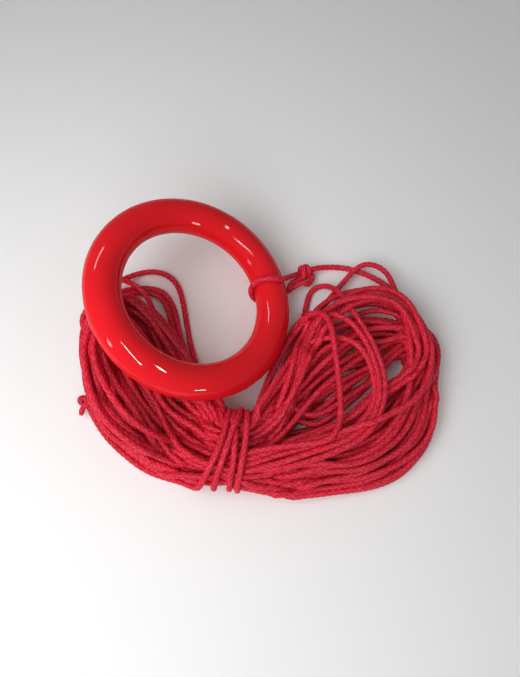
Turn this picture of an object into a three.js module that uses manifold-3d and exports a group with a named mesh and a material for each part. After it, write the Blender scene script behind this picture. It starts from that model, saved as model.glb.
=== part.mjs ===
// A rescue quoit: a small buoyant throwing ring, tied to a long braided line.
// The line is made up as a hank that is pinched at its waist by turns of itself.
// Units are millimetres, +Z is up, and the hank lies on the plane z = 0.
// The origin is on that plane, under the turns that bind the hank's waist.
import * as THREE from 'three';
import { mergeVertices } from 'three/addons/utils/BufferGeometryUtils.js';
import Module from 'manifold-3d';

// The ring
const ringOuterDiameter = 170;
const tubeDiameter = 28;
const shellThickness = 3;
const ventDiameter = 6;
const ventAngle = 110;

// The line
const lineDiameter = 4.5;
const gap = 0.3;

// How the ring lies: its centre over the plane, its tilt, and the way its low side points (degrees)
// The line that passes under the low side holds it off the plane.
const ringPlace = [-26, 119];
const lowSideHeight = 6;
const ringTilt = 26.6;
const lowSideHeading = 5.75;
const tieAngle = 15;

// The hank
const waistHalfLength = 17;
const waistHalfWidth = 27.2;
const waistHalfHeight = 17.5;
const waistCentreY = 1.5;
const bandHalfLength = 13;
const hankHeightAtWaist = 34;
const leftRise = 0.28;
const rightRise = -0.03;
const bunchedLength = 32;
const edgeShare = 0.24;
const shoulderShare = 0.52;
const outlineSteps = 44;

const tubeRadius = tubeDiameter / 2;
const ringRadius = ringOuterDiameter / 2 - tubeRadius;
const lineRadius = lineDiameter / 2;
const toRadians = THREE.MathUtils.degToRad;

const finishes = {
  shell: { color: 0xd81f26, roughness: 0.16, metalness: 0 },
  foam: { color: 0xe8e2d2, roughness: 0.9, metalness: 0 },
  plug: { color: 0xb81c22, roughness: 0.45, metalness: 0 },
  line: { color: 0xc81e3c, roughness: 0.7, metalness: 0 },
};

const model = new THREE.Group();
const ring = new THREE.Group();
model.add(ring);

// Adds a named mesh with its own material to a group.
function addPiece(group, name, geometry, finish) {
  const mesh = new THREE.Mesh(geometry, new THREE.MeshStandardMaterial(finishes[finish]));
  mesh.name = name;
  group.add(mesh);
  return mesh;
}

// A closed ring of round section about the local Z axis.
function torus(radius, sectionRadius, aroundRing, aroundTube) {
  const profile = [];
  for (let i = 0; i <= aroundTube; i += 1) {
    const angle = (2 * Math.PI * (i % aroundTube)) / aroundTube;
    const out = radius + sectionRadius * Math.cos(angle);
    profile.push(new THREE.Vector2(out, sectionRadius * Math.sin(angle)));
  }
  return new THREE.LatheGeometry(profile, aroundRing).rotateX(Math.PI / 2);
}

// Turns a closed geometry into a manifold solid.
function toSolid(wasm, geometry) {
  const bare = geometry.clone();
  bare.deleteAttribute('normal');
  bare.deleteAttribute('uv');
  const merged = mergeVertices(bare, 1e-3);
  const mesh = new wasm.Mesh({
    numProp: 3,
    vertProperties: new Float32Array(merged.attributes.position.array),
    triVerts: new Uint32Array(merged.index.array),
  });
  return new wasm.Manifold(mesh);
}

// Turns a manifold solid back into a geometry.
function toGeometry(solid) {
  const mesh = solid.getMesh();
  const geometry = new THREE.BufferGeometry();
  geometry.setAttribute('position', new THREE.BufferAttribute(mesh.vertProperties, 3));
  geometry.setIndex(new THREE.BufferAttribute(mesh.triVerts, 1));
  geometry.computeVertexNormals();
  return geometry;
}

// A round bar of the line's thickness along a curve.
function lineTube(curve, steps, sides = 10) {
  const section = new THREE.Shape();
  for (let i = 0; i < sides; i += 1) {
    const angle = (2 * Math.PI * i) / sides;
    const x = lineRadius * Math.cos(angle);
    const y = lineRadius * Math.sin(angle);
    if (i === 0) {
      section.moveTo(x, y);
    } else {
      section.lineTo(x, y);
    }
  }
  section.closePath();
  return new THREE.ExtrudeGeometry(section, { steps, extrudePath: curve, bevelEnabled: false });
}

// A smooth curve through hand-placed points.
function curveThrough(points) {
  return new THREE.CatmullRomCurve3(points.map((p) => new THREE.Vector3(...p)));
}

// The ring's own frame: local +Z is the ring's axis and local +X points down its slope to the low side.
function placeRing() {
  const tilt = toRadians(ringTilt);
  const heading = toRadians(lowSideHeading);
  const slope = new THREE.Vector3(
    Math.cos(heading) * Math.cos(tilt),
    Math.sin(heading) * Math.cos(tilt),
    -Math.sin(tilt),
  );
  const axis = new THREE.Vector3(
    Math.cos(heading) * Math.sin(tilt),
    Math.sin(heading) * Math.sin(tilt),
    Math.cos(tilt),
  );
  const across = new THREE.Vector3().crossVectors(axis, slope);
  const height = lowSideHeight + tubeRadius + ringRadius * Math.sin(tilt);
  ring.matrixAutoUpdate = false;
  ring.matrix.makeBasis(slope, across, axis).setPosition(ringPlace[0], ringPlace[1], height);
  ring.matrix.decompose(ring.position, ring.quaternion, ring.scale);
  ring.matrixAutoUpdate = true;
  ring.updateMatrixWorld(true);
}

// A point of the tie's section: out from the ring's axis, up along it, and along the tube, from the tube's centre.
function nearTie(out, up, along) {
  const angle = toRadians(tieAngle);
  const x = (ringRadius + out) * Math.cos(angle) - along * Math.sin(angle);
  const y = (ringRadius + out) * Math.sin(angle) + along * Math.cos(angle);
  return new THREE.Vector3(x, y, up).applyMatrix4(ring.matrixWorld);
}

// The moulded skin, its foam core, and the plug in its filling hole on the underside.
function makeRing(wasm) {
  const coreRadius = tubeRadius - shellThickness - gap;
  const ventPlace = toRadians(ventAngle);
  const drill = new THREE.CylinderGeometry(ventDiameter / 2, ventDiameter / 2, 3 * shellThickness, 20);
  drill.rotateX(Math.PI / 2).translate(ringRadius * Math.cos(ventPlace), ringRadius * Math.sin(ventPlace), -tubeRadius);
  const shell = toSolid(wasm, torus(ringRadius, tubeRadius, 56, 24))
    .subtract(toSolid(wasm, torus(ringRadius, tubeRadius - shellThickness, 44, 16)))
    .subtract(toSolid(wasm, drill));
  addPiece(ring, 'ring_shell', toGeometry(shell), 'shell');
  addPiece(ring, 'ring_core', torus(ringRadius, coreRadius, 44, 14), 'foam');
  const plugRadius = ventDiameter / 2 - gap;
  const plugLength = shellThickness - 2 * gap;
  const plug = new THREE.CylinderGeometry(plugRadius, plugRadius, plugLength, 20).rotateX(Math.PI / 2);
  const plugMesh = addPiece(ring, 'vent_plug', plug, 'plug');
  const plugDepth = -(tubeRadius - gap - plugLength / 2);
  plugMesh.position.set(ringRadius * Math.cos(ventPlace), ringRadius * Math.sin(ventPlace), plugDepth);
}

// The loop round the ring's tube: a leg from the knot over the tube, round it, and under it back to the knot.
const knotCentre = new THREE.Vector3(64, 156, 8.5);
const knotHalfSize = [10, 8, 7.5];

function tieLoopCurve() {
  const wrapRadius = tubeRadius + gap + lineRadius;
  const overAngle = 68;
  const underAngle = 304;
  const underDrift = -13;
  const driftStart = 150;
  const stepAngle = 12;
  const points = [];
  for (let angle = overAngle; angle <= underAngle; angle += stepAngle) {
    const turn = toRadians(angle);
    const drift = underDrift * THREE.MathUtils.smoothstep(angle, driftStart, underAngle);
    points.push(nearTie(wrapRadius * Math.cos(turn), wrapRadius * Math.sin(turn), drift));
  }
  const legEnd = (from) => {
    const leg = new THREE.Vector3().subVectors(from, knotCentre);
    return knotCentre.clone().addScaledVector(leg.normalize(), knotHalfSize[0] + 2 * gap);
  };
  const first = points[0];
  const last = points[points.length - 1];
  const overLeg = legEnd(first);
  const underLeg = legEnd(last);
  const curvePoints = [overLeg, overLeg.clone().lerp(first, 0.5), ...points, last.clone().lerp(underLeg, 0.5), underLeg];
  return new THREE.CatmullRomCurve3(curvePoints);
}

function makeTie() {
  addPiece(model, 'ring_loop', lineTube(tieLoopCurve(), 34), 'line');
  const knot = new THREE.SphereGeometry(1, 16, 10).rotateX(Math.PI / 2).scale(...knotHalfSize);
  addPiece(model, 'tie_knot', knot, 'line').position.copy(knotCentre);
  const tail = curveThrough([[55, 150.3, 11.8], [52.6, 148.2, 12.8], [50.8, 146.2, 14.4]]);
  addPiece(model, 'knot_tail', lineTube(tail, 3), 'line');
  const lead = curveThrough([[75, 161, 7.5], [83, 165, 5], [91, 166.5, 3], [100, 166.5, 3], [108, 164.5, 4.5]]);
  addPiece(model, 'lead_line', lineTube(lead, 5), 'line');
}

// A mound of turns with a plan outline that starts and ends at the waist's end face.
// The turns are bunched up next to the waist. Away from it the mound thins out towards its edge.
function hankMound(outline, centre, rise) {
  const curve = new THREE.CatmullRomCurve3(outline.map(([x, y]) => new THREE.Vector3(x, y, 0)));
  const plan = curve.getPoints(outlineSteps);
  const heightAt = (x) => hankHeightAtWaist + rise * (Math.abs(x) - waistHalfLength);
  const thinning = (x) => THREE.MathUtils.smoothstep(Math.abs(x) - waistHalfLength, 0, bunchedLength);
  const edgeAt = (x) => heightAt(x) * THREE.MathUtils.lerp(0.85, edgeShare, thinning(x));
  const shoulderAt = (x) => heightAt(x) * THREE.MathUtils.lerp(0.95, shoulderShare, thinning(x));
  const profile = [
    { share: 0, height: () => 0 },
    { share: 1, height: () => 0 },
    { share: 1, height: edgeAt },
    { share: 0.72, height: shoulderAt },
    { share: 0.38, height: heightAt },
    { share: 0, height: heightAt },
  ];
  const geometry = new THREE.LatheGeometry(profile.map((p) => new THREE.Vector2(p.share, 0)), plan.length);
  const position = geometry.attributes.position;
  for (let i = 0; i <= plan.length; i += 1) {
    const edge = plan[i % plan.length];
    profile.forEach(({ share, height }, j) => {
      const x = centre[0] + share * (edge.x - centre[0]);
      const y = centre[1] + share * (edge.y - centre[1]);
      position.setXYZ(i * profile.length + j, x, y, height(x));
    });
  }
  geometry.computeVertexNormals();
  return geometry;
}

// An ellipse across the hank, with its lowest side level, drawn in the plane of its width and height.
function waistSection(halfWidth, halfHeight) {
  const sides = 24;
  const points = [];
  for (let i = 0; i < sides; i += 1) {
    const angle = (2 * Math.PI * (i + 0.5)) / sides;
    points.push(new THREE.Vector2(halfWidth * Math.cos(angle), halfHeight * Math.sin(angle)));
  }
  return points;
}

// A bar along X with the given section, centred on the waist.
function alongWaist(shape, halfLength, centreZ) {
  const geometry = new THREE.ExtrudeGeometry(shape, { depth: 2 * halfLength, bevelEnabled: false });
  return geometry
    .translate(0, 0, -halfLength)
    .applyMatrix4(new THREE.Matrix4().makeBasis(
      new THREE.Vector3(0, 1, 0),
      new THREE.Vector3(0, 0, 1),
      new THREE.Vector3(1, 0, 0),
    ))
    .translate(0, waistCentreY, centreZ);
}

function makeHank() {
  const face = waistHalfLength + 2 * gap;
  const left = [
    [-face, 40], [-22, 50], [-30, 70], [-38, 92], [-48, 116], [-64, 131], [-84, 133], [-106, 125], [-122, 108],
    [-128, 84], [-122, 56], [-114, 34], [-104, 14], [-80, -4], [-45, -20], [-face, -27],
  ];
  const right = [
    [face, -27], [45, -34], [85, -32], [118, -28], [146, -13], [166, 10], [173, 42], [178, 80], [176, 106],
    [162, 134], [142, 152], [118, 160], [94, 151], [76, 144], [66, 118], [52, 88], [45, 66], [36, 48], [face, 32],
  ];
  addPiece(model, 'hank_left', hankMound(left, [-74, 60], leftRise), 'line');
  addPiece(model, 'hank_right', hankMound(right, [100, 60], rightRise), 'line');
  const facetSag = Math.cos(Math.PI / 24);
  const bandHalfHeight = waistHalfHeight + gap + lineDiameter;
  const centreZ = bandHalfHeight * facetSag;
  const waist = new THREE.Shape(waistSection(waistHalfWidth, waistHalfHeight));
  addPiece(model, 'hank_waist', alongWaist(waist, waistHalfLength, centreZ), 'line');
  const band = new THREE.Shape(waistSection(waistHalfWidth + gap + lineDiameter, bandHalfHeight));
  band.holes.push(new THREE.Path(waistSection(waistHalfWidth + gap, waistHalfHeight + gap)));
  addPiece(model, 'waist_wraps', alongWaist(band, bandHalfLength, centreZ), 'line');
}

// Two turns that stand off the left bight inside the ring's hole, and the knotted free end.
function makeLooseTurns() {
  const outer = curveThrough([
    [-92, 141, 14], [-84, 154, 8], [-72, 164, 3], [-57, 162, 2.6], [-45, 151, 2.6], [-39, 133, 2.6], [-34, 110, 2.6],
  ]);
  addPiece(model, 'loose_turn_outer', lineTube(outer, 12), 'line');
  const inner = curveThrough([[-84, 138.5, 12], [-74, 144, 6], [-60, 141.5, 3], [-51, 128, 2.6], [-45, 117.5, 2.6]]);
  addPiece(model, 'loose_turn_inner', lineTube(inner, 8), 'line');
  const endKnot = new THREE.SphereGeometry(1, 14, 8).rotateX(Math.PI / 2).scale(6, 9, 6);
  addPiece(model, 'line_end_knot', endKnot, 'line').position.set(-126, 42, 6.5);
}

const wasm = await Module();
wasm.setup();
placeRing();
makeRing(wasm);
makeTie();
makeHank();
makeLooseTurns();

export default model;
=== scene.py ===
"""A rescue quoit, a small throwing ring on a long braided line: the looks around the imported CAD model.

The line is one cord. It is tied round the ring, made up as a hank in two bights, and bound at
its waist. Lengths are millimetres until a piece is made, when they become metres.
"""
import math

import bpy
import numpy as np
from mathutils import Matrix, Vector, noise


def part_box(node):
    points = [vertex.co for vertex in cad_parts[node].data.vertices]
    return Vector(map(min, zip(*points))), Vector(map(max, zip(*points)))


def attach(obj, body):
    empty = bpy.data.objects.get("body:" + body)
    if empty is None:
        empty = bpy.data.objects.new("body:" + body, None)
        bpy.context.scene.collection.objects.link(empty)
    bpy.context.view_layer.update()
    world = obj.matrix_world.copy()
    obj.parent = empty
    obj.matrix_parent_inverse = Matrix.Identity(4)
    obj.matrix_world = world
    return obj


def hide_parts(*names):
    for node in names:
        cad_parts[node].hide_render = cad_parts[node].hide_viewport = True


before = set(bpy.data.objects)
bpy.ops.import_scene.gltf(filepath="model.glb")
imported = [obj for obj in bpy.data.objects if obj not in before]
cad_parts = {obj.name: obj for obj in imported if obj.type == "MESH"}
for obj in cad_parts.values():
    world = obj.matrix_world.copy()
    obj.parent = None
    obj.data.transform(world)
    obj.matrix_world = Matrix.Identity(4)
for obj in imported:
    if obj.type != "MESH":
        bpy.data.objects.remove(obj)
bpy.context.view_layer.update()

MM = 0.001
SEED = 11

# The ring, as the CAD model has it
RING_RADIUS = 71.0
TUBE_RADIUS = 14.0
SHELL_THICKNESS = 3.0
RING_TILT = math.radians(26.6)
LOW_SIDE_HEADING = math.radians(5.75)
TIE_ANGLE = math.radians(15)
VENT_ANGLE = math.radians(110)
VENT_RADIUS = 3.0
SWING_RANGE = math.radians(90)

# The line
LINE_DIAMETER = 4.5
LINE_RADIUS = LINE_DIAMETER / 2
GAP = 0.3

# The hank
TURNS = 39
WAIST_HALF_WIDTH = 27.2
WAIST_HALF_HEIGHT = 17.5
WAIST_CENTRE_Y = 1.5
WAIST_CENTRE_Z = WAIST_HALF_HEIGHT + GAP + LINE_DIAMETER

# The mesh of the line
NODE_STEP = 4.5
RING_STEP = 1.4
SIDES = 8
STRANDS = 4
PLAIT_PITCH = 4.8
CROWN_RADIUS = 2.6
CREASE_RADIUS = 2.2
END_ROUNDING = 2.0
TIP_SHARE = 0.35
BAKE_ROWS = 46
BAKE_MARGIN = 0.06

rng = np.random.default_rng(SEED)


def unit(vector):
    """The vector's direction, one long."""
    return vector / np.linalg.norm(vector)


def smoothstep(x):
    """0 up to 0, 1 from 1 on, and a smooth rise between."""
    x = np.clip(x, 0, 1)
    return x * x * (3 - 2 * x)


# ---------------------------------------------------------------- the ring's own frame

def ring_frame():
    """The ring's centre and its slope, across and axis directions, in millimetres."""
    low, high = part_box("ring_shell")
    centre = (np.array(low) + np.array(high)) / 2 / MM
    heading = np.array([math.cos(LOW_SIDE_HEADING), math.sin(LOW_SIDE_HEADING), 0])
    up = np.array([0, 0, 1.0])
    slope = heading * math.cos(RING_TILT) - up * math.sin(RING_TILT)
    axis = heading * math.sin(RING_TILT) + up * math.cos(RING_TILT)
    return centre, slope, np.cross(axis, slope), axis


RING_CENTRE, RING_SLOPE, RING_ACROSS, RING_AXIS = ring_frame()


def on_ring(angle, out, up):
    """A point near the tube: out from the ring's axis and up along it, from the tube's centre line."""
    around = RING_SLOPE * math.cos(angle) + RING_ACROSS * math.sin(angle)
    return RING_CENTRE + around * (RING_RADIUS + out) + RING_AXIS * up


def ring_along(angle):
    """The direction the tube runs in."""
    return -RING_SLOPE * math.sin(angle) + RING_ACROSS * math.cos(angle)


def swung(point, turn):
    """Where a point of the ring comes when the ring swings up in its loop of line."""
    hinge = on_ring(TIE_ANGLE, 0, 0)
    axis = ring_along(TIE_ANGLE)
    arm = point - hinge
    along = axis * (arm @ axis)
    return hinge + along + (arm - along) * math.cos(turn) + np.cross(axis, arm) * math.sin(turn)


# Places on the ring's way up that the line is kept clear of
SWINGS = np.linspace(0, SWING_RANGE, 8)


# ---------------------------------------------------------------- camera, lights and floor

CAMERA_ELEVATION = math.radians(72)
CAMERA_DISTANCE = 435.5
CAMERA_AIM = np.array([26.7, 93.2, 20.0])
CAMERA_LENS = 27.65

# The lights and the floor are in metres and degrees
WORLD_STRENGTH = 0.30
WINDOW_DISTANCE = 1.3
FLOOR_SIZE = 3.0
LIGHTS_AIM = Vector((0.02, 0.08, 0.03))

# Soft lights: name, azimuth, elevation, distance, size, power
SOFT_LIGHTS = [
    ("key", -155, 53, 0.62, (0.45, 0.45), 2.1),
    ("top", 150, 70, 0.60, (0.35, 0.35), 0.20),
    ("fill", -110, 34, 0.75, (0.5, 0.4), 1.6),
]
# Windows, which only show as reflections: name, azimuth, elevation, size, power
WINDOWS = [
    ("window_right", -4, 60, (0.10, 0.035), 2.0),
    ("window_front", -88, 70, (0.035, 0.55), 9.0),
    ("window_left", -148, 28, (0.12, 0.30), 2.2),
    ("window_back", 125, 46, (0.50, 0.035), 3.0),
    ("window_low", -60, 14, (0.22, 0.12), 3.5),
]


def make_camera():
    """Looks steeply down on the quoit from in front of it, from close by."""
    back = np.array([0, -math.cos(CAMERA_ELEVATION), math.sin(CAMERA_ELEVATION)])
    data = bpy.data.cameras.new("camera")
    data.sensor_width = 36
    data.lens = CAMERA_LENS
    data.clip_start = 0.01
    camera = bpy.data.objects.new("camera", data)
    camera.location = Vector((CAMERA_AIM + back * CAMERA_DISTANCE) * MM)
    camera.rotation_euler = (math.pi / 2 - CAMERA_ELEVATION, 0, 0)
    bpy.context.scene.collection.objects.link(camera)
    bpy.context.scene.camera = camera


def add_light(name, azimuth, elevation, distance, size, power):
    """An area light that faces the object from a direction in degrees, at a distance in metres."""
    data = bpy.data.lights.new(name, "AREA")
    data.shape = "RECTANGLE"
    data.size, data.size_y = size
    data.energy = power
    light = bpy.data.objects.new(name, data)
    a = math.radians(azimuth)
    e = math.radians(elevation)
    direction = Vector((math.cos(e) * math.cos(a), math.cos(e) * math.sin(a), math.sin(e)))
    light.location = LIGHTS_AIM + direction * distance
    light.rotation_euler = direction.to_track_quat("Z", "Y").to_euler()
    bpy.context.scene.collection.objects.link(light)
    return light


def make_studio():
    """A pale floor, a plain world, soft lights, and windows that show on the ring's gloss."""
    world = bpy.data.worlds.new("studio")
    bpy.context.scene.world = world
    world.use_nodes = True
    background = world.node_tree.nodes["Background"]
    background.inputs["Color"].default_value = (1, 1, 1, 1)
    background.inputs["Strength"].default_value = WORLD_STRENGTH
    for name, azimuth, elevation, distance, size, power in SOFT_LIGHTS:
        soft = add_light(name, azimuth, elevation, distance, size, power)
        soft.visible_glossy = False
    for name, azimuth, elevation, size, power in WINDOWS:
        window = add_light(name, azimuth, elevation, WINDOW_DISTANCE, size, power)
        window.visible_diffuse = False
    bpy.context.scene.view_settings.view_transform = "Standard"
    half = FLOOR_SIZE / 2
    corners = [(-half, -half, 0), (half, -half, 0), (half, half, 0), (-half, half, 0)]
    floor = mesh_object("floor", corners, [(0, 1, 2, 3)])
    floor.data.materials.append(plain_material("floor_paint", FLOOR_GREY, 0.9))


# ---------------------------------------------------------------- meshes and materials

# Colours, from a surface's darkest part to its brightest
SHELL_REDS = ((0.74, 0.009, 0.015), (0.80, 0.011, 0.019))
# The line's reds run from painted shade where a strand dives under, through its own red, to painted
# highlight where it passes over
LINE_SHADE_TO_HIGHLIGHT_REDS = ((0.37, 0.004, 0.014), (0.70, 0.009, 0.030), (0.90, 0.050, 0.110))
LINE_SHEEN = (1, 0.35, 0.45, 1)
PATCH_GREYS = ((0.85, 0.85, 0.85), (1.0, 1.0, 1.0))
PLUG_REDS = ((0.38, 0.006, 0.010), (0.50, 0.010, 0.016))
FOAM_CREAMS = ((0.60, 0.56, 0.45), (0.86, 0.82, 0.72))
FLOOR_GREY = (0.92, 0.92, 0.92)


def mesh_object(name, points, faces):
    """A smooth-shaded mesh object in the scene, from points in metres."""
    mesh = bpy.data.meshes.new(name)
    mesh.from_pydata(points, [], faces)
    mesh.polygons.foreach_set("use_smooth", [True] * len(mesh.polygons))
    mesh.update()
    made = bpy.data.objects.new(name, mesh)
    bpy.context.scene.collection.objects.link(made)
    return made


class Nodes:
    """Short names for building a material out of nodes."""

    def __init__(self, name):
        self.material = bpy.data.materials.new(name)
        self.material.use_nodes = True
        self.tree = self.material.node_tree
        self.shader = self.tree.nodes["Principled BSDF"]

    def add(self, kind, **values):
        """A node of one kind, with values for its inputs and settings."""
        node = self.tree.nodes.new(kind)
        for key, value in values.items():
            if key in node.inputs:
                node.inputs[key].default_value = value
            else:
                setattr(node, key, value)
        return node

    def link(self, source, target):
        """Joins an output to an input."""
        self.tree.links.new(source, target)

    def set(self, **values):
        """Sets the shader's inputs. An underscore stands for a space in a name."""
        for key, value in values.items():
            self.shader.inputs[key.replace("_", " ")].default_value = value

    def ramp(self, source, places, colours):
        """A colour from a value, through one colour at each place."""
        ramp = self.add("ShaderNodeValToRGB")
        while len(ramp.color_ramp.elements) < len(places):
            ramp.color_ramp.elements.new(0.5)
        for element, place, colour in zip(ramp.color_ramp.elements, places, colours):
            element.position = place
            element.color = (*colour, 1)
        self.link(source, ramp.inputs["Fac"])
        return ramp.outputs["Color"]

    def noise(self, scale, detail=2.0, coordinates=None):
        """A noise's value, over the piece's own coordinates unless others are given."""
        texture = self.add("ShaderNodeTexNoise", Scale=scale, Detail=detail)
        place = coordinates or self.add("ShaderNodeTexCoord").outputs["Object"]
        self.link(place, texture.inputs["Vector"])
        return texture.outputs["Fac"]

    def math(self, operation, a, b=None):
        """One sum. a and b are sockets or numbers."""
        node = self.add("ShaderNodeMath", operation=operation)
        for value, target in zip((a, b), node.inputs):
            if isinstance(value, bpy.types.NodeSocket):
                self.link(value, target)
            elif value is not None:
                target.default_value = value
        return node.outputs["Value"]

    def bump(self, source, strength, distance):
        """Makes the surface stand out by a value."""
        bump = self.add("ShaderNodeBump", Strength=strength, Distance=distance)
        self.link(source, bump.inputs["Height"])
        self.link(bump.outputs["Normal"], self.shader.inputs["Normal"])
        return bump


def plain_material(name, colour, roughness):
    """One flat colour."""
    nodes = Nodes(name)
    nodes.set(Base_Color=(*colour, 1), Roughness=roughness)
    return nodes.material


def shell_material():
    """Glossy moulded red plastic, a little cloudy, with faint scuffs."""
    nodes = Nodes("shell_gloss")
    nodes.set(Coat_Weight=0.5, Coat_Roughness=0.02, Coat_IOR=1.45, Specular_IOR_Level=0.0)
    cloud = nodes.noise(28, 3)
    colour = nodes.ramp(cloud, (0.3, 0.7), SHELL_REDS)
    nodes.link(colour, nodes.shader.inputs["Base Color"])
    scuffs = nodes.noise(420, 5)
    roughness = nodes.add("ShaderNodeMapRange")
    nodes.link(scuffs, roughness.inputs["Value"])
    roughness.inputs["To Min"].default_value = 0.2
    roughness.inputs["To Max"].default_value = 0.36
    nodes.link(roughness.outputs["Result"], nodes.shader.inputs["Roughness"])
    wave = nodes.bump(nodes.noise(35, 1), 0.06, 0.0006)
    nodes.link(wave.outputs["Normal"], nodes.shader.inputs["Coat Normal"])
    return nodes.material


def core_material():
    """Closed-cell foam."""
    nodes = Nodes("foam_cells")
    nodes.set(Roughness=0.92)
    cells = nodes.add("ShaderNodeTexVoronoi", Scale=900.0)
    nodes.link(nodes.add("ShaderNodeTexCoord").outputs["Object"], cells.inputs["Vector"])
    colour = nodes.ramp(cells.outputs["Distance"], (0.0, 0.6), FOAM_CREAMS)
    nodes.link(colour, nodes.shader.inputs["Base Color"])
    nodes.bump(cells.outputs["Distance"], 0.5, 0.0004)
    return nodes.material


def plug_material():
    """Satin rubbery plastic with a fine grain."""
    nodes = Nodes("plug_satin")
    nodes.set(Roughness=0.45)
    grain = nodes.noise(900, 2)
    colour = nodes.ramp(grain, (0.3, 0.7), PLUG_REDS)
    nodes.link(colour, nodes.shader.inputs["Base Color"])
    nodes.bump(grain, 0.25, 0.0002)
    return nodes.material


# How sharply a strand's crossing falls away, in radians to a strand's width
STRAND_ACROSS = 3.1
STRAND_LENGTHWISE = 2.2
# How much the crossings' roundness and the streaks along the strands give to the braid's painted shade
# and painted highlights
CROWN_LIGHT_AND_SHADE_PART = 0.35
HIGHLIGHT_STREAK_PART = 0.9
HIGHLIGHT_STREAK_SCALE = (1.9, 1.1, 1)


def braid_crown(nodes, place):
    """How high the strand on top stands, from the place on the braid's map."""
    split = nodes.add("ShaderNodeSeparateXYZ")
    nodes.link(place, split.inputs["Vector"])
    p = nodes.math("ADD", split.outputs["X"], split.outputs["Y"])
    q = nodes.math("SUBTRACT", split.outputs["X"], split.outputs["Y"])
    whole_p = nodes.math("ROUND", p)
    whole_q = nodes.math("ROUND", q)
    odd = nodes.math("PINGPONG", nodes.math("ADD", whole_p, whole_q), 1.0)
    off_p = nodes.math("ABSOLUTE", nodes.math("SUBTRACT", p, whole_p))
    off_q = nodes.math("ABSOLUTE", nodes.math("SUBTRACT", q, whole_q))
    swap_across = nodes.math("MULTIPLY", odd, nodes.math("SUBTRACT", off_q, off_p))
    across = nodes.math("ADD", off_p, swap_across)
    swap_lengthwise = nodes.math("MULTIPLY", odd, nodes.math("SUBTRACT", off_p, off_q))
    lengthwise = nodes.math("ADD", off_q, swap_lengthwise)
    round_across = nodes.math("COSINE", nodes.math("MULTIPLY", across, STRAND_ACROSS))
    round_lengthwise = nodes.math("COSINE", nodes.math("MULTIPLY", lengthwise, STRAND_LENGTHWISE))
    return nodes.math("MULTIPLY", round_across, round_lengthwise)


def line_material():
    """Braided polypropylene, with painted highlights as bright flecks where a strand passes over and
    painted shade where it dives under.
    """
    nodes = Nodes("line_braid")
    nodes.set(Roughness=0.5, Specular_IOR_Level=0.15, Sheen_Weight=0.05, Sheen_Roughness=0.4)
    nodes.shader.inputs["Sheen Tint"].default_value = LINE_SHEEN
    place = nodes.add("ShaderNodeUVMap", uv_map="braid").outputs["UV"]
    crown = braid_crown(nodes, place)
    # Noise stretched along the strands paints highlight streaks into the line's colour
    stretch = nodes.add("ShaderNodeVectorMath", operation="MULTIPLY")
    nodes.link(place, stretch.inputs[0])
    stretch.inputs[1].default_value = HIGHLIGHT_STREAK_SCALE
    highlight_streaks = nodes.noise(1.0, 2, stretch.outputs["Vector"])
    crown_light_and_shade = nodes.math("MULTIPLY", crown, CROWN_LIGHT_AND_SHADE_PART)
    highlight_streak_part = nodes.math("MULTIPLY", highlight_streaks, HIGHLIGHT_STREAK_PART)
    painted_light = nodes.math("ADD", crown_light_and_shade, highlight_streak_part)
    # The braid's colour holds painted shade between the crossings and painted highlights on the
    # crossings and streaks
    braid = nodes.ramp(painted_light, (0.28, 0.58, 0.88), LINE_SHADE_TO_HIGHLIGHT_REDS)
    patches = nodes.ramp(nodes.noise(45, 3), (0.3, 0.7), PATCH_GREYS)
    mix = nodes.add("ShaderNodeMix", data_type="RGBA", blend_type="MULTIPLY")
    mix.inputs["Factor"].default_value = 1
    nodes.link(braid, mix.inputs["A"])
    nodes.link(patches, mix.inputs["B"])
    nodes.link(mix.outputs["Result"], nodes.shader.inputs["Base Color"])
    nodes.bump(crown, 0.35, 0.0005)
    return nodes.material


# ---------------------------------------------------------------- curves

# Straight pieces between two points of a curve, before it is spaced evenly
FINE_PIECES = 24


def curve_through(points, step=None, count=None):
    """A smooth curve through points, as evenly spaced points by a step or a count."""
    points = np.asarray(points, float)
    ends = np.vstack([2 * points[0] - points[1], points, 2 * points[-1] - points[-2]])
    spans = len(ends) - 3
    place = np.linspace(0, spans, spans * FINE_PIECES + 1)
    i = np.minimum(place.astype(int), spans - 1)
    f = (place - i)[:, None]
    a, b, c, d = ends[i], ends[i + 1], ends[i + 2], ends[i + 3]
    square = 2 * a - 5 * b + 4 * c - d
    cube = 3 * b - a - 3 * c + d
    fine = 0.5 * (2 * b + (c - a) * f + square * f**2 + cube * f**3)
    return evenly(fine, step, count)


def distances(points):
    """How far along the line each point is."""
    return np.r_[0, np.cumsum(np.linalg.norm(np.diff(points, axis=0), axis=1))]


def evenly(points, step=None, count=None):
    """The same line with evenly spaced points."""
    run = distances(points)
    count = count or max(2, int(round(run[-1] / step)) + 1)
    place = np.linspace(0, run[-1], count)
    return np.stack([np.interp(place, run, points[:, k]) for k in range(points.shape[1])], -1)


def soften(points, times):
    """Takes the corners off a line, and leaves its ends."""
    points = points.copy()
    for _ in range(times):
        points[1:-1] = 0.25 * points[:-2] + 0.5 * points[1:-1] + 0.25 * points[2:]
    return points


# ---------------------------------------------------------------- the tie

KNOT_CENTRE = np.array([67.0, 159.8, 8.5])
LEAD = [(77.5, 163.8, 7.5), (84, 165.8, 5), (92, 167, 3), (100, 166.5, 3), (108, 164.5, 4.5)]
TAIL = [(51.5, 140.5, 12.5), (53.0, 144.0, 12.0), (55.8, 148.6, 11.0)]


def wrapping(centre, along, up, start, end, first, last, radius):
    """A helix about a line through centre.

    It turns from start to end degrees about along, measured from up, and moves from first to last.
    """
    side = np.cross(along, up)
    count = max(8, int(abs(end - start) / 20))
    share = np.linspace(0, 1, count)
    angle = np.radians(start + (end - start) * share)
    run = first + (last - first) * share
    points = []
    for s, a in zip(run, angle):
        points.append(centre + along * s + radius * (math.cos(a) * up + math.sin(a) * side))
    return points


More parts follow.
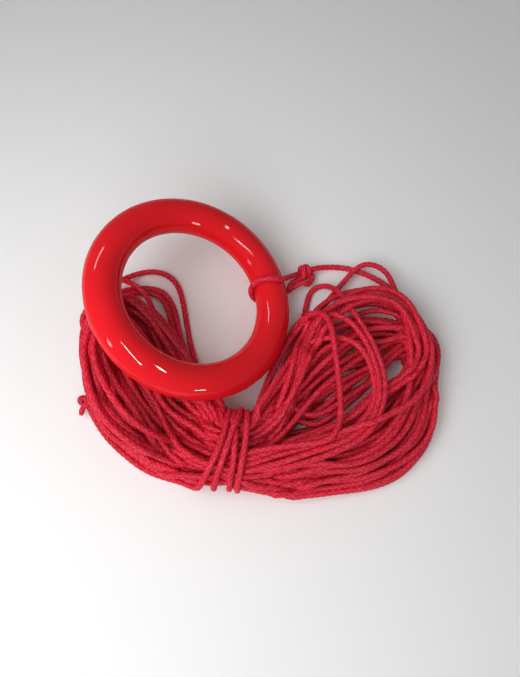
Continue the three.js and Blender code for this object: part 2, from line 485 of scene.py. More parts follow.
def tube_loop():
    """The line's turn round the ring's tube, from under it to over it."""
    wrap = TUBE_RADIUS + GAP + LINE_RADIUS
    under = 304
    side = 150
    over = 68
    under_drift = -13
    over_drift = -4.5
    along = ring_along(TIE_ANGLE)
    points = []
    for angle in range(under, over - 1, -12):
        turn = math.radians(angle)
        moved = under_drift * smoothstep((angle - side) / (under - side))
        moved += over_drift * smoothstep((side - angle) / (side - over))
        points.append(on_ring(TIE_ANGLE, wrap * math.cos(turn), wrap * math.sin(turn)) + along * moved)
    return points


def tie_route():
    """The tail, the knot's wraps, the loop round the tube, and back through the knot to the lead."""
    loop = tube_loop()
    over = loop[-1]
    lead = np.array(LEAD, float)
    along = unit(lead[0] - (KNOT_CENTRE + 9 * unit(over - KNOT_CENTRE)))
    up = unit(np.array([0, 0, 1.0]) - along * along[2])
    wraps = wrapping(
        KNOT_CENTRE, along, up, start=90, end=-640, first=-4.6, last=5.2, radius=LINE_DIAMETER + 0.2,
    )
    side = np.cross(along, up)
    bend = [
        KNOT_CENTRE + along * 2.5 + side * 9.4 - up * 1.5,
        KNOT_CENTRE - along * 4.0 + side * 11.8 - up * 1.5,
        KNOT_CENTRE - along * 10.5 + side * 8.5 - up * 1.5,
    ]
    standing = [KNOT_CENTRE - along * 9, KNOT_CENTRE - along * 3, KNOT_CENTRE + along * 4]
    route = [*np.array(TAIL), *wraps, *bend, *loop, (over + standing[0]) / 2, *standing, *lead]
    return curve_through(route, step=RING_STEP)


# ---------------------------------------------------------------- the binding and the free end

# Where each turn of the binding crosses the waist's back edge, its top and its front edge
BINDING = [(18.2, 15.5, 9.5), (6.2, 8.0, 3.5), (12.0, 2.5, -9.0), (2.4, -3.5, -20.0)]
EDGE_RUN = [
    (-37, -21.5, 3), (-54, -17, 3), (-68, -11, 3), (-80, -2, 3), (-92, 7, 3), (-101, 16, 3),
    (-107, 24, 3.5), (-111.5, 31, 5),
]
END_KNOT = np.array([-115.5, 40.0, 8.0])

# The oval that the binding holds the hank in: its middle, its slant to the waist, how far it grips
# and holds to each side, and how much it opens beyond its grip
BINDING_X = 2
BINDING_SLANT = 0.3
BINDING_GRIP = 7
BINDING_HOLD = 13
BINDING_FLARE = 0.10


def waist_point(x, angle):
    """A point of the binding's section: 0 is the back edge, and 90 is the top."""
    half_width = WAIST_HALF_WIDTH + GAP + LINE_RADIUS
    half_height = WAIST_HALF_HEIGHT + GAP + LINE_RADIUS
    turn = math.radians(angle)
    y = WAIST_CENTRE_Y + half_width * math.cos(turn)
    return np.array([x, y, WAIST_CENTRE_Z + half_height * math.sin(turn)])


def binding_route():
    """Four slanting turns round the waist: over it from back to front, and back under it."""
    points = []
    for k, (back, top, front) in enumerate(BINDING):
        last = k == len(BINDING) - 1
        following = front if last else BINDING[k + 1][0]
        for angle in range(0, 200 if last else 360, 20):
            over = (1 - math.cos(math.radians(min(angle, 180)))) / 2
            x = back + (4 * top - 3 * back - front) * over + 2 * (back + front - 2 * top) * over**2
            x += (following - front) * smoothstep((angle - 190) / 160)
            points.append(waist_point(x, angle))
    return points


def end_knot_route():
    """The stopper knot on the free end: the line turns back and wraps round itself."""
    along = unit(np.array([-0.45, 1.0, 0.1]))
    up = unit(np.array([0, 0, 1.0]) - along * along[2])
    side = np.cross(along, up)
    standing = [END_KNOT - along * 5, END_KNOT, END_KNOT + along * 4]
    turn = [END_KNOT + along * 7.4 - side * 2.6, END_KNOT + along * 6.2 - side * 5.6]
    wraps = wrapping(
        END_KNOT, along, up, start=-90, end=-430, first=3.2, last=-1.6, radius=LINE_DIAMETER + 0.1,
    )
    tip = [END_KNOT - along * 3.0 - side * 6.5, END_KNOT - along * 6.5 - side * 8.5]
    return curve_through([EDGE_RUN[-1], *standing, *turn, *wraps, *tip], step=RING_STEP)


# ---------------------------------------------------------------- the hank's turns

# Each bight's outermost and innermost turns in plan, from the waist's front, round, to its back
RIGHT_OUTER = [
    (12, -24), (45, -30), (85, -28), (118, -23), (146, -9), (165, 12), (172, 42), (175, 76),
    (172, 102), (160, 125), (143, 139), (120, 143), (97, 136), (78, 121), (65, 100), (55, 78),
    (47, 57), (37, 41), (22, 29),
]
RIGHT_INNER = [
    (13, -12), (26, -6), (40, 1), (53, 7), (67, 12), (84, 19), (101, 29), (114, 41), (126, 54),
    (138, 67), (140, 76), (130, 68), (116, 53), (101, 40), (84, 27), (66, 17), (50, 10), (36, 4),
    (25, 0), (13, -6),
]
LEFT_OUTER = [
    (-22, -21), (-36, -18.5), (-52, -14), (-68, -7), (-82, 3), (-94, 14), (-105, 30), (-114, 50),
    (-120, 74), (-121, 96), (-113, 114), (-98, 125), (-81, 125), (-68, 118), (-57, 108), (-48, 96),
    (-39, 83), (-30, 70), (-20, 57), (-11, 44), (-3, 35), (4, 29),
]
LEFT_INNER = [
    (-14, 4), (-29, 13), (-42, 27), (-51, 41), (-59, 54), (-66, 68), (-73, 83), (-80, 95),
    (-80, 103), (-74, 101), (-71, 89), (-68, 73), (-62, 57), (-55, 42), (-45, 29), (-33, 18),
    (-20, 9), (-8, 4),
]

# Single turns that leave the bunch: turn number to its route
RIGHT_STRAYS = {
    0: [
        (14, -20, 12), (45, -29, 9), (85, -29, 7), (118, -25, 5), (142, -14, 3), (160, 6, 3),
        (170, 28, 3), (174, 53, 3), (176, 75, 3), (175, 95, 3), (169, 113, 3), (160, 128, 4),
        (150, 138, 5), (140, 148, 5), (130, 155, 5), (119, 160.5, 5), (108, 164.5, 4.5),
    ],
    5: [
        (14, -12, 20), (42, -20, 20), (73, -15, 22), (105, -3, 24), (129, 16, 26), (143, 40, 28),
        (149, 65, 28), (150, 86, 28), (149, 107, 24), (147, 127, 18), (144, 143, 14),
        (140, 157, 12), (132, 165, 10), (122, 167.5, 10), (113, 163, 9), (103, 152, 7),
        (93, 140, 8), (78, 120, 9), (64, 98, 10), (50, 74, 11), (36, 50, 14), (20, 28, 20),
    ],
    12: [
        (14, -16, 33), (42, -14, 35), (68, -7, 35), (91, 2, 35), (111, 15, 34), (121, 33, 34),
        (124, 50, 34), (122, 69, 34), (117, 86, 34), (109, 104, 32), (101, 122, 26), (95, 137, 16),
        (89, 146, 8), (81, 149, 3), (73, 145, 2.6), (69, 135, 2.6), (66, 121, 3), (58, 98, 5),
        (48, 75, 8), (36, 50, 12), (19, 26, 20),
    ],
    20: [
        (14, -8, 37), (38, 0, 36), (57, 5.5, 36), (74, 9, 36), (91, 14, 36), (111, 20, 36),
        (131, 29, 35), (149, 40, 33), (161, 57, 30), (166, 77, 28), (163, 98, 26), (152, 118, 25),
        (134, 132, 24), (112, 132, 24), (90, 114, 24), (70, 89, 23), (50, 62, 28), (34, 42, 30),
        (17, 20, 32),
    ],
    26: [
        (14, -13, 35), (38, -5, 35), (65, 2, 35), (92, 10, 34), (109, 23, 33), (117, 38, 33),
        (118, 54, 33), (115, 69, 33), (109, 81, 33), (100, 88, 33), (88, 91, 31), (75, 91, 26),
        (61, 85, 21), (48, 69, 27), (37, 51, 33), (26, 36, 34), (15, 20, 34),
    ],
    27: [
        (14, -17, 34), (38, -11, 36), (64, -2, 36), (87, 6, 35), (108, 19, 34), (119, 37, 34),
        (121, 54, 34), (118, 72, 34), (111, 89, 34), (102, 102, 34), (91, 109, 33), (76, 113, 26),
        (63, 112, 17), (55, 104, 11), (48, 89, 14), (36, 67, 18), (26, 44, 26), (15, 24, 31),
    ],
    31: [
        (14, -4, 36), (40, 1, 37), (62, 4, 38), (77, 6, 38), (86, 14, 37), (89, 28, 36),
        (89, 44, 36), (88, 62, 37), (86, 82, 38), (84, 99, 38), (80, 110, 33), (72, 114.5, 27),
        (64, 112, 17), (51, 94, 15), (37, 67, 19), (26, 43, 28), (15, 22, 32),
    ],
}
LEFT_STRAYS = {
    8: [
        (-18, -14, 14), (-45, -8, 18), (-72, 6, 26), (-92, 24, 36), (-104, 48, 44), (-109, 76, 46),
        (-110, 104, 40), (-108, 128, 28), (-104, 142, 18), (-97, 151, 10), (-86, 159, 5),
        (-73, 163, 3), (-60, 161, 2.6), (-49, 152, 2.6), (-42.5, 135, 2.6), (-38.5, 115, 2.6),
        (-34.5, 96, 3), (-29, 78, 6), (-21, 58, 10), (-10, 42, 16), (3, 28, 22),
    ],
    16: [
        (-18, -10, 16), (-45, -3, 20), (-70, 12, 28), (-88, 32, 40), (-98, 56, 50), (-102, 84, 50),
        (-102, 112, 40), (-100, 130, 24), (-93, 140, 12), (-81, 145, 6), (-70, 146, 3),
        (-59, 142, 3), (-52, 132, 3), (-47.5, 120, 3), (-44, 104, 5), (-37, 84, 8), (-28, 62, 12),
        (-15, 44, 18), (1, 27, 22),
    ],
    19: [
        (-18, -6, 18), (-45, 2, 24), (-68, 18, 32), (-85, 38, 42), (-95, 62, 50), (-100, 90, 48),
        (-100, 114, 36), (-98, 127, 22), (-91, 136, 13), (-80, 140.5, 8), (-70, 141.2, 4),
        (-62, 138, 3.5), (-56.5, 129, 3.5), (-52.5, 118, 4), (-48, 102, 7), (-40, 82, 11),
        (-30, 60, 14), (-16, 42, 19), (1, 25, 23),
    ],
    24: [
        (-18, -6, 18), (-42, 2, 24), (-66, 18, 32), (-84, 38, 44), (-94, 60, 52), (-100, 86, 52),
        (-104, 112, 40), (-104, 134, 26), (-100, 147, 17), (-93, 150.5, 12), (-85, 146.5, 9),
        (-77, 140, 10), (-69, 129, 14), (-61, 112, 18), (-51, 90, 20), (-40, 66, 20), (-28, 46, 20),
        (-12, 30, 22), (1, 21, 24),
    ],
}

# The shares of a bight's length where a turn's way in is chosen
STATIONS = [0.0, 0.22, 0.37, 0.5, 0.63, 0.78, 1.0]
BIGHT_POINTS = 130

# How far the turns' order is mixed from one place to the next: 0 keeps it, and 1 loses it
SIDE_MIXING = 0.7
LAYER_MIXING = 0.5
WAIST_MIXING = 0.35
FAR_MIXING = 0.2
RIGHT_MIXING = 0.3
LEFT_MIXING = 0.45
# How far in the far end of the steepest turn is, as a share, and how much that varies
RIGHT_FAR = 0.5
LEFT_FAR = 0.6
FAR_SPREAD = 0.2
# How much of the waist's height the turns fill, and how a turn's level varies from bight to bight
WAIST_FILL = 0.85
LEVEL_SPREAD = 0.2

# How high the bights are piled: the left one rises and the right one falls away from the waist
PILE_HEIGHT = 34
LEFT_RISE = 34
LEFT_RISE_START = 32
LEFT_RISE_RUN = 48
RIGHT_FALL = 5
RIGHT_FALL_START = 60
RIGHT_FALL_RUN = 90

# How much of the pile's height a turn has at shares of the way in: the outermost lie lower
PILE_SHARES = [0, 0.25, 0.75, 1]
PILE_LEVELS = [0.6, 1, 1, 0.8]
# A turn climbs to its level over a seventh of its way round, and comes down over the last seventh
CLIMB_PARTS = 7
# A turn's random wander from its way, aside in millimetres and up as a share of the height
WANDER_WAVES = 4
WANDER_ASIDE = 1.6
WANDER_UP = 0.13

# How firmly a node is drawn back to its place in each round of settling, and how far it sinks
STRAY_HOLD = 0.12
EDGE_HOLD = 0.04
BUNCH_HOLD = 0.008
SAG = 0.05
SETTLING_ROUNDS = 420
# Rounds between two searches for close pairs, how much further apart than touching those may be,
# and how many diameters apart along the line they have to be
SEARCH_ROUNDS = 6
SEARCH_MARGIN = 2.5
SEARCH_APART = 1.6
# The more nodes press on one, the less each moves it
PRESS_EASING = 0.6
# How much of a node's move its neighbours share, by how many nodes away they are
STIFFNESS = ((1, 0.5), (3, 0.35), (7, 0.15))


def ranks(values):
    """Each value's place in their order, spread evenly over 0 to 1."""
    return (np.argsort(np.argsort(values)) + 0.5) / len(values)


def shuffled(shares, mixing):
    """The turns' shares of the way in, part mixed and spread evenly again."""
    return ranks((1 - mixing) * shares + mixing * rng.random(len(shares)))


def fan(upright, mixing, far_share):
    """Shares of the way in at the stations between a bight's two ends.

    The turns are much of a length, and fan out from the waist. An upright turn lies outside at
    the back and inside at the front, and a flat one the other way round.
    """
    front = shuffled(upright, mixing)
    front_far = shuffled(front, FAR_MIXING)
    far = far_share * np.abs(2 * upright - 1) + rng.uniform(0, FAR_SPREAD, len(upright))
    back = shuffled(1 - upright, mixing)
    back_far = shuffled(back, FAR_MIXING)
    return np.stack([front, front_far, far, back_far, back])


def ease(share, places, values):
    """Goes smoothly through values at places."""
    result = np.full_like(share, values[0])
    for p0, p1, v0, v1 in zip(places, places[1:], values, values[1:]):
        result += (v1 - v0) * smoothstep((share - p0) / (p1 - p0))
    return result


def wander(share, size):
    """A random slow wave that is nothing at both ends."""
    total = np.zeros_like(share)
    for k in range(1, WANDER_WAVES + 1):
        total += rng.normal() * np.sin(math.pi * k * share) / k
    return size * total


def left_height(x):
    """How high the left bight is piled, which is highest under the ring's raised side."""
    return PILE_HEIGHT + LEFT_RISE * smoothstep((-LEFT_RISE_START - x) / LEFT_RISE_RUN)


def right_height(x):
    """How high the right bight is piled."""
    return PILE_HEIGHT - RIGHT_FALL * smoothstep((x - RIGHT_FALL_START) / RIGHT_FALL_RUN)


def bight(outer, inner, shares, lift, waist_z, height):
    """One turn's way round a bight, with its share of the way in and its share of the height."""
    share = np.linspace(0, 1, BIGHT_POINTS)
    inward = ease(share, STATIONS, shares)[:, None]
    plan = curve_through(outer, count=BIGHT_POINTS) * (1 - inward)
    plan += curve_through(inner, count=BIGHT_POINTS) * inward
    ahead = np.gradient(plan, axis=0)
    ahead /= np.linalg.norm(ahead, axis=1)[:, None]
    plan += np.stack([-ahead[:, 1], ahead[:, 0]], -1) * wander(share, WANDER_ASIDE)[:, None]
    piled = np.interp(inward[:, 0], PILE_SHARES, PILE_LEVELS)
    level = np.clip(lift * piled + wander(share, WANDER_UP), 0, 1)
    z = LINE_RADIUS + (height(plan[:, 0]) - LINE_DIAMETER) * level
    inside = smoothstep(np.minimum(share, 1 - share) * CLIMB_PARTS)
    z = z * inside + np.where(share < 0.5, waist_z[0], waist_z[1]) * (1 - inside)
    return np.column_stack([plan, z])


def turns_route():
    """All the hank's turns, one after another, and how firmly each point holds its place."""
    upright = ranks(rng.random(TURNS))
    left_upright = shuffled(upright, SIDE_MIXING)
    layer = shuffled(upright, LAYER_MIXING)
    front = shuffled(upright, WAIST_MIXING)
    back = shuffled(1 - upright, WAIST_MIXING)
    right = fan(upright, RIGHT_MIXING, RIGHT_FAR)
    left = fan(left_upright, LEFT_MIXING, LEFT_FAR)
    reach = (WAIST_HALF_HEIGHT - LINE_RADIUS) * WAIST_FILL
    front_z = WAIST_CENTRE_Z + reach * rng.uniform(-1, 1, TURNS)
    back_z = WAIST_CENTRE_Z + reach * rng.uniform(-1, 1, TURNS)
    parts, holds = [], []
    for k in range(TURNS):
        if k in RIGHT_STRAYS:
            out = curve_through(RIGHT_STRAYS[k], count=BIGHT_POINTS)
        else:
            shares = [front[k], *right[:, k], back[k - 1]]
            ends = (front_z[k], back_z[k - 1])
            out = bight(RIGHT_OUTER, RIGHT_INNER, shares, layer[k], ends, right_height)
        if k in LEFT_STRAYS:
            home = curve_through(LEFT_STRAYS[k], count=BIGHT_POINTS)
        else:
            shares = [front[k], *left[:, k], back[k]]
            lift = np.clip(layer[k] + LEVEL_SPREAD * rng.normal(), 0, 1)
            home = bight(LEFT_OUTER, LEFT_INNER, shares, lift, (front_z[k], back_z[k]), left_height)
        parts += [out[::-1], home]
        holds.append(STRAY_HOLD if k in RIGHT_STRAYS else BUNCH_HOLD)
        holds.append(STRAY_HOLD if k in LEFT_STRAYS else BUNCH_HOLD)
    return np.vstack(parts), np.repeat(holds, BIGHT_POINTS)


# ---------------------------------------------------------------- settling the line

def close_pairs(points, reach, apart):
    """Pairs of nodes nearer than reach that aren't next to each other along the line."""
    cell = np.floor((points - points.min(0) + reach) / reach).astype(np.int64)
    size = cell.max(0) + 3
    key = (cell[:, 0] * size[1] + cell[:, 1]) * size[2] + cell[:, 2]
    order = np.argsort(key, kind="stable")
    ordered = key[order]
    cells, start, count = np.unique(ordered, return_index=True, return_counts=True)
    around = (-1, 0, 1)
    steps = [(i, j, k) for i in around for j in around for k in around if (i, j, k) >= (0, 0, 0)]
    first, second = [], []
    for i, j, k in steps:
        shift = (i * size[1] + j) * size[2] + k
        found = np.minimum(np.searchsorted(cells, ordered + shift), len(cells) - 1)
        mine = np.nonzero(cells[found] == ordered + shift)[0]
        many = count[found[mine]]
        a = np.repeat(mine, many)
        offset = np.repeat(start[found[mine]] - np.r_[0, np.cumsum(many)[:-1]], many)
        b = np.arange(many.sum()) + offset
        keep = a < b if shift == 0 else slice(None)
        first.append(order[a[keep]])
        second.append(order[b[keep]])
    a, b = np.concatenate(first), np.concatenate(second)
    near = (np.abs(a - b) > apart) & (((points[a] - points[b]) ** 2).sum(1) < reach * reach)
    return a[near], b[near]


def push_apart(points, a, b, free):
    """Moves pairs of nodes that are nearer than the line's diameter away from each other."""
    count = len(points)
    between = points[a] - points[b]
    distance = np.sqrt((between**2).sum(1)) + 1e-9
    deep = LINE_DIAMETER - distance
    touch = deep > 0
    i = a[touch]
    j = b[touch]
    both = free[i] + free[j]
    share_i = np.where(both > 0, free[i] / np.maximum(both, 1), 0)
    share_j = np.where(both > 0, free[j] / np.maximum(both, 1), 0)
    move = between[touch] / distance[touch][:, None] * deep[touch][:, None]
    pressed = np.bincount(i, minlength=count) + np.bincount(j, minlength=count)
    crowd = np.maximum(1, PRESS_EASING * pressed)
    for k in range(3):
        moved = np.bincount(i, move[:, k] * share_i, count)
        moved -= np.bincount(j, move[:, k] * share_j, count)
        points[:, k] += moved / crowd


def inside_binding(points, hank):
    """Squeezes the hank's nodes into the binding's oval, which slants across the waist."""
    slant = points[:, 0] - BINDING_X - BINDING_SLANT * (points[:, 1] - WAIST_CENTRE_Y)
    spread = 1 + BINDING_FLARE * smoothstep((np.abs(slant) - BINDING_GRIP) / BINDING_GRIP)
    y = (points[:, 1] - WAIST_CENTRE_Y) / ((WAIST_HALF_WIDTH - LINE_RADIUS) * spread)
    z = (points[:, 2] - WAIST_CENTRE_Z) / ((WAIST_HALF_HEIGHT - LINE_RADIUS) * spread)
    out = np.sqrt(y * y + z * z)
    held = (np.abs(slant) < BINDING_HOLD) & (out > 1) & hank
    points[held, 1] = WAIST_CENTRE_Y + (points[held, 1] - WAIST_CENTRE_Y) / out[held]
    points[held, 2] = WAIST_CENTRE_Z + (points[held, 2] - WAIST_CENTRE_Z) / out[held]


def outside_tube(points, free, centre, axis):
    """Keeps nodes outside the ring's tube, when the ring has this centre and axis."""
    away = points - centre
    up = away @ axis
    flat = away - up[:, None] * axis
    rho = np.sqrt((flat**2).sum(1)) + 1e-9
    out = rho - RING_RADIUS
    distance = np.sqrt(out * out + up * up) + 1e-9
    clear = TUBE_RADIUS + CROWN_RADIUS + 0.1
    inside = (distance < clear) & (free > 0)
    grow = clear / distance[inside]
    radial = flat[inside] / rho[inside][:, None]
    new_out = (RING_RADIUS + out[inside] * grow)[:, None]
    points[inside] = centre + radial * new_out + (up[inside] * grow)[:, None] * axis


def keep_out(points, free, hank):
    """Keeps nodes inside the binding, over the floor, and clear of the ring all its way up."""
    inside_binding(points, hank)
    for turn in SWINGS:
        centre = swung(RING_CENTRE, turn)
        outside_tube(points, free, centre, swung(RING_CENTRE + RING_AXIS, turn) - centre)
    low = (points[:, 2] < CROWN_RADIUS) & (free > 0)
    points[low, 2] = CROWN_RADIUS


def under_ring(points):
    """Lowers nodes that start inside or over the tube, at rest or swung up, to just under it."""
    clear = TUBE_RADIUS + LINE_RADIUS
    for angle in np.linspace(0, 2 * math.pi, 180, endpoint=False):
        for turn in SWINGS:
            tube = swung(on_ring(angle, 0, 0), turn)
            aside = np.hypot(points[:, 0] - tube[0], points[:, 1] - tube[1])
            near = aside < clear
            under = tube[2] - np.sqrt(clear * clear - aside[near]**2)
            points[near, 2] = np.minimum(points[near, 2], under)


def stiffen(moved, free):
    """Shares what moved a node with its neighbours on the line, near and further away."""
    for reach, share in STIFFNESS:
        middle = 0.5 * (moved[:-2 * reach] + moved[2 * reach:])
        moved[reach:-reach] += (middle - moved[reach:-reach]) * (share * free[reach:-reach])[:, None]


def settle(points, free, hold, hank, rounds):
    """Lets the line fall on itself: it bends gently, lies on its own turns and stays near its place."""
    home = points.copy()
    apart = int(math.ceil(SEARCH_APART * LINE_DIAMETER / NODE_STEP))
    easing = rounds * 3 // 4
    for turn in range(rounds):
        if turn % SEARCH_ROUNDS == 0:
            a, b = close_pairs(points, LINE_DIAMETER + SEARCH_MARGIN, apart)
        if turn < easing:
            moved = points - home
            moved *= (1 - hold * free)[:, None]
            moved[:, 2] -= SAG * free * (hold < STRAY_HOLD / 2)
            stiffen(moved, free)
            points = home + moved
        push_apart(points, a, b, free)
        push_apart(points, a, b, free)
        keep_out(points, free, hank)
    return points


def unsettled(start, end):
    """The line between its knots before it settles: nodes, their holds, and which are the hank's."""
    turns, turn_holds = turns_route()
    binding = np.array(binding_route())
    edge = curve_through(EDGE_RUN, step=NODE_STEP)[:-1]
    middle = np.vstack([start, turns[1:], binding, edge, end])
    binding_holds = np.full(len(binding), STRAY_HOLD)
    edge_holds = np.full(len(edge) + 1, EDGE_HOLD)
    holds = np.r_[STRAY_HOLD, turn_holds[1:], binding_holds, edge_holds]
    in_hank = np.r_[0, np.ones(len(turns) - 1), np.zeros(len(binding) + len(edge) + 1)]
    run = distances(middle)
    count = int(run[-1] / NODE_STEP) + 1
    place = np.linspace(0, run[-1], count)
    nodes = soften(evenly(middle, count=count), 3)
    under_ring(nodes)
    return nodes, np.interp(place, run, holds), np.interp(place, run, in_hank) > 0.5


def line_route():
    """The whole line's centre line from its tail at the ring to its stopper knot."""
    tie = tie_route()
    knot = end_knot_route()
    middle, middle_holds, middle_hank = unsettled(tie[-1], knot[0])
    lead_in = evenly(tie, step=NODE_STEP)[:-1]
    run_out = evenly(knot, step=NODE_STEP)[1:]
    nodes = np.vstack([lead_in, middle, run_out])
    first = len(lead_in)
    last = first + len(middle) - 1
    free = np.ones(len(nodes))
    free[:first + 1] = 0
    free[last:] = 0
    hold = np.r_[np.zeros(len(lead_in)), middle_holds, np.zeros(len(run_out))]
    hank = np.zeros(len(nodes), bool)
    hank[first:last + 1] = middle_hank
    nodes = settle(nodes, free, hold, hank, rounds=SETTLING_ROUNDS)
    settled = curve_through(nodes[first:last + 1], step=RING_STEP)
    route = soften(np.vstack([tie[:-1], settled, knot[1:]]), 2)
    route = evenly(route, step=RING_STEP)
    route[:, 2] = np.maximum(route[:, 2], CROWN_RADIUS)
    return route


# ---------------------------------------------------------------- the line's mesh

def frames_along(points):
    """Two directions across the line at each point, which turn as little as possible along it."""
    ahead = np.gradient(points, axis=0)
    ahead /= np.linalg.norm(ahead, axis=1)[:, None]
    across = np.empty_like(points)
    current = np.cross(ahead[0], (0.3, 0.2, 1.0))
    for i, t in enumerate(ahead):
        current = current - t * (current @ t)
        current /= math.sqrt(current @ current)
        across[i] = current
    return across, np.cross(ahead, across)


def plait_height(around, along):
    """How far the braid's surface stands out, 0 to 1: two families of strands that pass over and under.

    around is in turns of the line, and along is in pitches of the braid.
    """
    p = STRANDS * around + along
    q = STRANDS * around - along
    over = (np.rint(p) + np.rint(q)) % 2 == 0
    across = np.where(over, p - np.rint(p), q - np.rint(q))
    return 1 - (2 * across) ** 2


def line_faces(count):
    """The faces of a tube with a ring of SIDES points at each of count places, and its two caps."""
    i = np.arange(count - 1)[:, None] * SIDES
    j = np.arange(SIDES)[None, :]
    k = (j + 1) % SIDES
    quads = np.stack([i + j, i + k, i + SIDES + k, i + SIDES + j], -1).reshape(-1, 4)
    last = (count - 1) * SIDES
    return quads.tolist() + [list(range(SIDES))[::-1], list(range(last, last + SIDES))]


def face_corners(count):
    """For each corner of the tube's quads: how far round it is in turns, and which ring it is on."""
    j = np.arange(SIDES)
    around = np.stack([j, j + 1, j + 1, j], -1) / SIDES
    ring = np.array([0, 0, 1, 1])
    around = np.broadcast_to(around, (count - 1, SIDES, 4)).reshape(-1)
    rings = (np.arange(count - 1)[:, None, None] + ring).repeat(SIDES, axis=1).reshape(-1)
    return around, rings


def add_map(mesh, name, u, v):
    """A UV map from the corners' values. The two caps' corners get the last value."""
    layer = mesh.uv_layers.new(name=name)
    pairs = np.empty((len(mesh.loops), 2), np.float32)
    pairs[:] = (u[-1], v[-1])
    pairs[:len(u), 0] = u
    pairs[:len(v), 1] = v
    layer.data.foreach_set("uv", pairs.reshape(-1))


def add_bake_map(mesh, around, rings, count):
    """Lays the line's surface out as rows that fill the square."""
    rings_in_row = math.ceil(count / BAKE_ROWS)
    quad_ring = rings.reshape(-1, 4)[:, 0].repeat(4)
    row = quad_ring // rings_in_row
    u = (rings - row * rings_in_row) / rings_in_row
    v = (row + BAKE_MARGIN + (1 - 2 * BAKE_MARGIN) * around) / BAKE_ROWS
    add_map(mesh, "OFBake", u, v)


def line_mesh(route):
    """The line's braided tube along its route, with its two maps."""
    across, other = frames_along(route)
    count = len(route)
    run = distances(route)
    turns = np.arange(SIDES) / SIDES
    height = plait_height(turns[None, :], run[:, None] / PLAIT_PITCH)
    taper = np.clip(np.minimum(run, run[-1] - run) / END_ROUNDING, TIP_SHARE, 1) ** 0.5
    radius = (CREASE_RADIUS + (CROWN_RADIUS - CREASE_RADIUS) * height) * taper[:, None]
    around = (2 * math.pi * turns)[None, :, None]
    outward = np.cos(around) * across[:, None, :] + np.sin(around) * other[:, None, :]
    points = (route[:, None, :] + radius[:, :, None] * outward).reshape(-1, 3)
    line = mesh_object("line", (points * MM).tolist(), line_faces(count))
    corner_around, corner_rings = face_corners(count)
    add_bake_map(line.data, corner_around, corner_rings, count)
    add_map(line.data, "braid", corner_around * STRANDS, run[corner_rings] / PLAIT_PITCH)
    return line


def make_line():
    """The whole line, what it stands for, and how it lies."""
    route = line_route()
    line = line_mesh(route)
    line.data.materials.append(line_material())
    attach(line, "line")
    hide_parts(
        "ring_loop", "tie_knot", "knot_tail", "lead_line", "hank_left", "hank_waist",
        "hank_right", "waist_wraps", "loose_turn_outer", "loose_turn_inner", "line_end_knot",
    )


# ---------------------------------------------------------------- the ring

# The mesh of the skin outside, and of its hollow: steps round the ring, and sides round the tube
SHELL_MESH = (300, 84)
HOLLOW_MESH = (96, 32)
VENT_SIDES = 32

# The moulding's parting ridge, and its slow and fine unevenness
RIDGE_HEIGHT = 0.22
RIDGE_WIDTH = 0.55
WAVE_HEIGHT = 0.12
WAVES_ROUND_RING = 3.2
WAVES_ROUND_TUBE = 0.55
RIPPLE_HEIGHT = 0.02
RIPPLE_FINENESS = 3.1


def torus(name, section_radius, steps, sides, shape):
    """A torus on the ring's centre line. shape says how far a point stands out from round."""
    points, faces = [], []
    for i in range(steps):
        angle = 2 * math.pi * i / steps
        for j in range(sides):
            turn = 2 * math.pi * j / sides
            radius = section_radius + shape(angle, turn)
            points.append(on_ring(angle, radius * math.cos(turn), radius * math.sin(turn)) * MM)
            a, b = i * sides, (i + 1) % steps * sides
            faces.append((a + j, b + j, b + (j + 1) % sides, a + (j + 1) % sides))
    return mesh_object(name, points, faces)


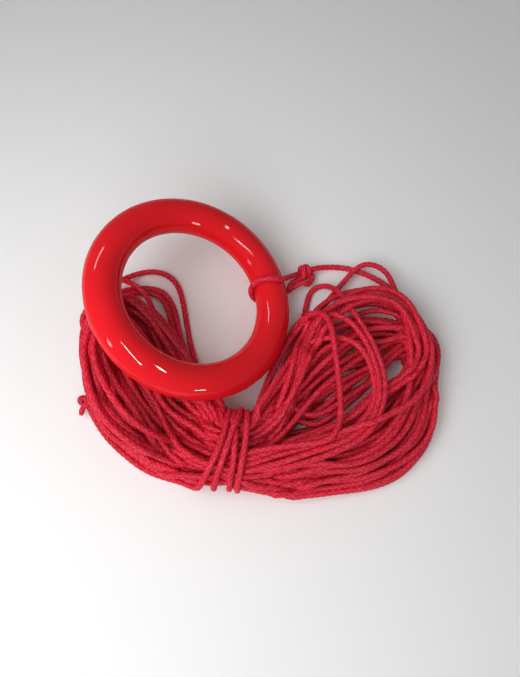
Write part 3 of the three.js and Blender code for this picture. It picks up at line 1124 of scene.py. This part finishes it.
def moulded(angle, turn):
    """The moulding's parting ridge outside and inside the ring, and its slight unevenness."""
    ridge = 0.0
    for place in (0.0, math.pi):
        away = (turn - place + math.pi) % (2 * math.pi) - math.pi
        ridge += RIDGE_HEIGHT * math.exp(-((away * TUBE_RADIUS / RIDGE_WIDTH) ** 2))
    place = Vector((WAVES_ROUND_RING * math.cos(angle), WAVES_ROUND_RING * math.sin(angle), 0))
    place += Vector((math.cos(turn), 0, math.sin(turn))) * WAVES_ROUND_TUBE
    ripple = RIPPLE_HEIGHT * noise.noise(place * RIPPLE_FINENESS)
    return ridge + WAVE_HEIGHT * noise.noise(place) + ripple


def cut(piece, tool):
    """Takes the tool's shape out of the piece, and removes the tool."""
    modifier = piece.modifiers.new("cut", "BOOLEAN")
    modifier.operation = "DIFFERENCE"
    modifier.solver = "EXACT"
    modifier.object = tool
    depsgraph = bpy.context.evaluated_depsgraph_get()
    mesh = bpy.data.meshes.new_from_object(piece.evaluated_get(depsgraph), depsgraph=depsgraph)
    piece.modifiers.remove(modifier)
    piece.data = mesh
    bpy.data.objects.remove(tool)


def vent_tool():
    """A round bar through the skin's underside, where the ring was filled."""
    sides = VENT_SIDES
    points, faces = [], []
    around = RING_SLOPE * math.cos(VENT_ANGLE) + RING_ACROSS * math.sin(VENT_ANGLE)
    along = np.cross(RING_AXIS, around)
    centre = RING_CENTRE + around * RING_RADIUS
    for depth in (-TUBE_RADIUS - 2, -TUBE_RADIUS + SHELL_THICKNESS + 2):
        for j in range(sides):
            turn = 2 * math.pi * j / sides
            flat = around * math.cos(turn) + along * math.sin(turn)
            points.append((centre + flat * VENT_RADIUS + RING_AXIS * depth) * MM)
    for j in range(sides):
        k = (j + 1) % sides
        faces.append((j, k, sides + k, sides + j))
    faces += [tuple(range(sides))[::-1], tuple(range(sides, 2 * sides))]
    return mesh_object("vent_tool", points, faces)


def make_ring():
    """The skin with its hollow and its filling hole, and the looks of the core and the plug."""
    shell = torus("quoit_shell", TUBE_RADIUS, *SHELL_MESH, moulded)
    cut(shell, torus("hollow", TUBE_RADIUS - SHELL_THICKNESS, *HOLLOW_MESH, lambda angle, turn: 0.0))
    cut(shell, vent_tool())
    shell.data.set_sharp_from_angle(angle=math.radians(40))
    shell.data.materials.clear()
    shell.data.materials.append(shell_material())
    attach(shell, "ring")
    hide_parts("ring_shell")
    for name, material in (("ring_core", core_material()), ("vent_plug", plug_material())):
        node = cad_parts[name]
        for slot in node.material_slots:
            slot.material = material


make_camera()
make_line()
make_ring()
make_studio()
